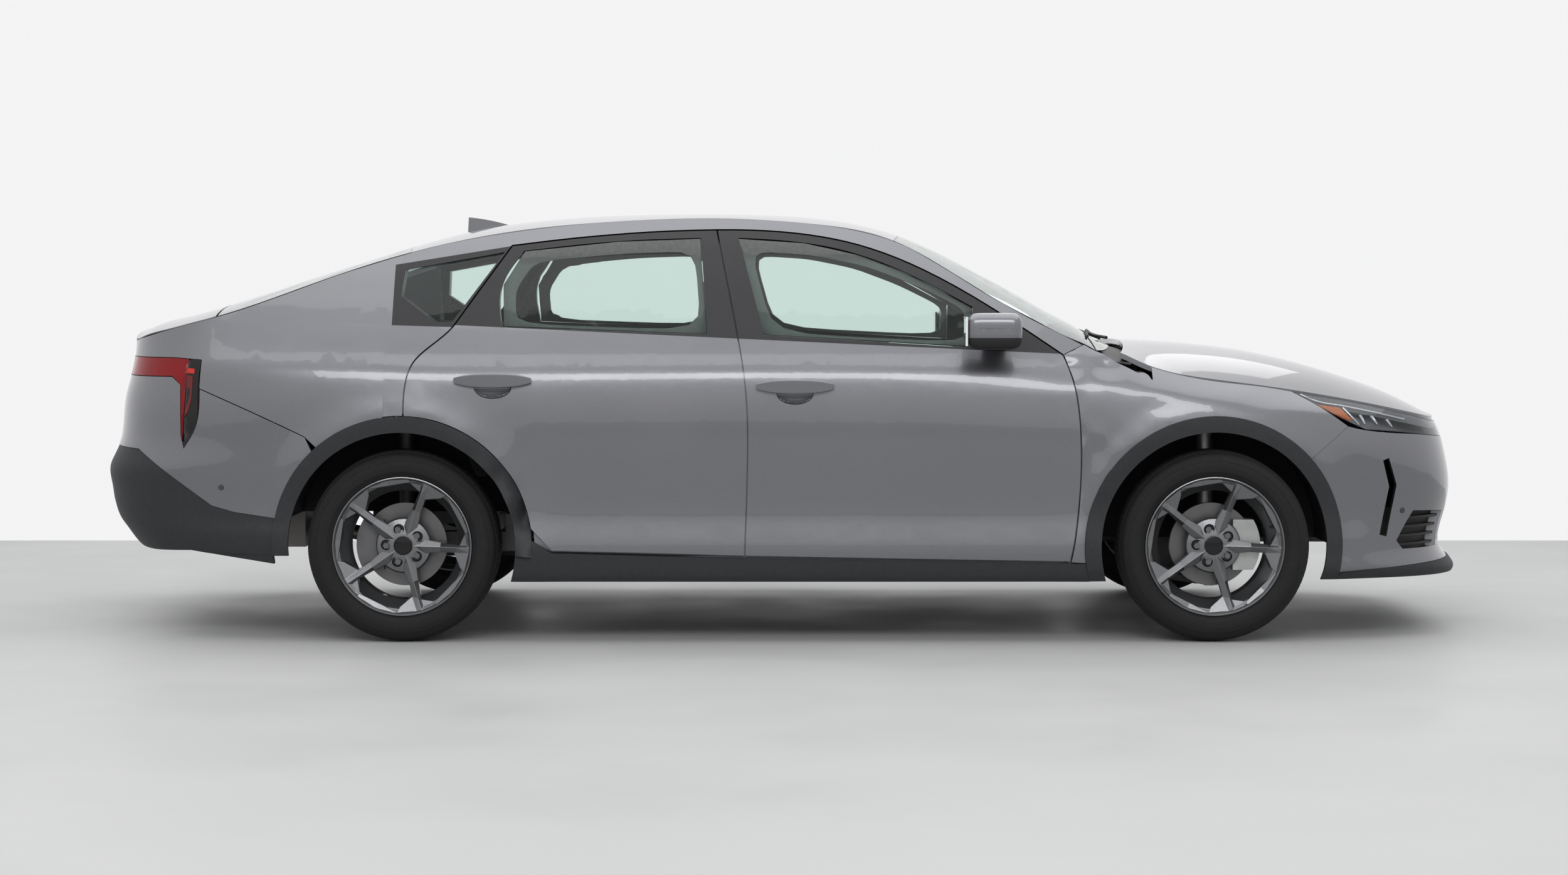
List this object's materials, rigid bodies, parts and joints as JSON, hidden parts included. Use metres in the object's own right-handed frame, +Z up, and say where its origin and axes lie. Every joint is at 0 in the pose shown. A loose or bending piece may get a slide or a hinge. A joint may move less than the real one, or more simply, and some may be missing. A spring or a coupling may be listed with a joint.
{
  "type": "sedan car",
  "caption": "Fastback sedan with opening doors, hood and boot lid, steered front wheels, a hollow cabin with seats, and dark cladding round the wheels.",
  "frame": {"origin": "on the ground, under the middle of the car's length and width", "axes": "+X forwards, +Y to the car's left, +Z up; the car stands on its tyres at Z 0 and the picture shows its right side"},
  "size_m": [4.7217, 2.09, 1.45],
  "materials": {
    "body_paint": "metallic clear coat",
    "dark_trim": "grained matte",
    "window_glass": "polished, light green tint",
    "clear_lamp": "gloss",
    "red_lamp": "gloss",
    "under_body": "matte coating",
    "cast_metal": "cast",
    "pipe_steel": "dull",
    "brake_steel": "turned",
    "wheel_metal": "satin machined",
    "tyre_rubber": "matte",
    "seat_cloth": "woven",
    "inside_plastic": "grained matte",
    "wheel_cover": "smooth"
  },
  "bodies": {
    "body": {"roof_panel": "body_paint", "body_sides": "body_paint", "front_fenders": "body_paint", "front_bumper": "body_paint", "rear_bumper": "body_paint", "roof_antenna": "body_paint", "body_cladding": "dark_trim", "front_lip": "dark_trim", "front_grille": "dark_trim", "rear_valance": "dark_trim", "cowl_panel": "dark_trim", "windshield": "window_glass", "rear_window": "window_glass", "quarter_windows": "window_glass", "headlamps": "clear_lamp", "tail_lamps": "red_lamp", "floor_pan": "under_body", "front_structure": "under_body", "engine_block": "cast_metal", "front_subframe": "cast_metal", "rear_axle": "cast_metal", "exhaust": "pipe_steel", "front_seats": "seat_cloth", "rear_seat": "seat_cloth", "dashboard": "inside_plastic", "rear_shelf": "inside_plastic"},
    "front_door_right": {"front_door_right": "body_paint", "front_door_window_right": "window_glass", "door_mirror_right": "body_paint"},
    "rear_door_right": {"rear_door_right": "body_paint", "rear_door_window_right": "window_glass"},
    "knuckle_right": {"knuckle_right": "cast_metal"},
    "front_door_left": {"front_door_left": "body_paint", "front_door_window_left": "window_glass", "door_mirror_left": "body_paint"},
    "rear_door_left": {"rear_door_left": "body_paint", "rear_door_window_left": "window_glass"},
    "knuckle_left": {"knuckle_left": "cast_metal"},
    "wheel_front_right": {"rim_front_right": "wheel_metal", "tyre_front_right": "tyre_rubber", "brake_disc_front_right": "brake_steel"},
    "wheel_front_left": {"rim_front_left": "wheel_metal", "tyre_front_left": "tyre_rubber", "brake_disc_front_left": "brake_steel"},
    "wheel_rear_right": {"rim_rear_right": "wheel_metal", "tyre_rear_right": "tyre_rubber", "brake_disc_rear_right": "brake_steel"},
    "wheel_rear_left": {"rim_rear_left": "wheel_metal", "tyre_rear_left": "tyre_rubber", "brake_disc_rear_left": "brake_steel"},
    "hood": {"hood": "body_paint"},
    "trunk_lid": {"trunk_lid": "body_paint"},
    "steering_wheel": {"steering_wheel": "wheel_cover"}
  },
  "joints": [
    {"name": "front_door_right_hinge", "type": "hinge", "parent": "body", "child": "front_door_right", "pos_m": [0.995, -0.925, 0.6], "axis": [0, 0, 1], "range_deg": [0, 65]},
    {"name": "rear_door_right_hinge", "type": "hinge", "parent": "body", "child": "rear_door_right", "pos_m": [-0.118, -0.93, 0.6], "axis": [0, 0, 1], "range_deg": [0, 65]},
    {"name": "steer_right", "type": "hinge", "parent": "body", "child": "knuckle_right", "pos_m": [1.447, -0.735, 0.2], "axis": [0, 0.2169, 0.9762], "range_deg": [-32, 32]},
    {"name": "front_door_left_hinge", "type": "hinge", "parent": "body", "child": "front_door_left", "pos_m": [0.995, 0.925, 0.6], "axis": [0, 0, -1], "range_deg": [0, 65]},
    {"name": "rear_door_left_hinge", "type": "hinge", "parent": "body", "child": "rear_door_left", "pos_m": [-0.118, 0.93, 0.6], "axis": [0, 0, -1], "range_deg": [0, 65]},
    {"name": "steer_left", "type": "hinge", "parent": "body", "child": "knuckle_left", "pos_m": [1.447, 0.735, 0.2], "axis": [0, -0.2169, 0.9762], "range_deg": [-32, 32]},
    {"name": "wheel_front_right_spin", "type": "hinge", "parent": "knuckle_right", "child": "wheel_front_right", "pos_m": [1.447, -0.785, 0.322], "axis": [0, 1, 0], "continuous": true},
    {"name": "wheel_front_left_spin", "type": "hinge", "parent": "knuckle_left", "child": "wheel_front_left", "pos_m": [1.447, 0.785, 0.322], "axis": [0, 1, 0], "continuous": true},
    {"name": "wheel_rear_right_spin", "type": "hinge", "parent": "body", "child": "wheel_rear_right", "pos_m": [-1.273, -0.785, 0.322], "axis": [0, 1, 0], "continuous": true},
    {"name": "wheel_rear_left_spin", "type": "hinge", "parent": "body", "child": "wheel_rear_left", "pos_m": [-1.273, 0.785, 0.322], "axis": [0, 1, 0], "continuous": true},
    {"name": "hood_hinge", "type": "hinge", "parent": "body", "child": "hood", "pos_m": [1.095, 0, 1.02], "axis": [0, -1, 0], "range_deg": [0, 60]},
    {"name": "trunk_hinge", "type": "hinge", "parent": "body", "child": "trunk_lid", "pos_m": [-1.945, 0, 1.143], "axis": [0, 1, 0], "range_deg": [0, 80]},
    {"name": "steering_wheel_turn", "type": "hinge", "parent": "body", "child": "steering_wheel", "pos_m": [0.478, 0.375, 0.8], "axis": [-0.9135, 0, 0.4067], "range_deg": [-450, 450]}
  ],
  "couplings": [
    {"joint": "steer_right", "follows": "steering_wheel_turn", "ratio": 0.071111},
    {"joint": "steer_left", "follows": "steering_wheel_turn", "ratio": 0.071111}
  ]
}
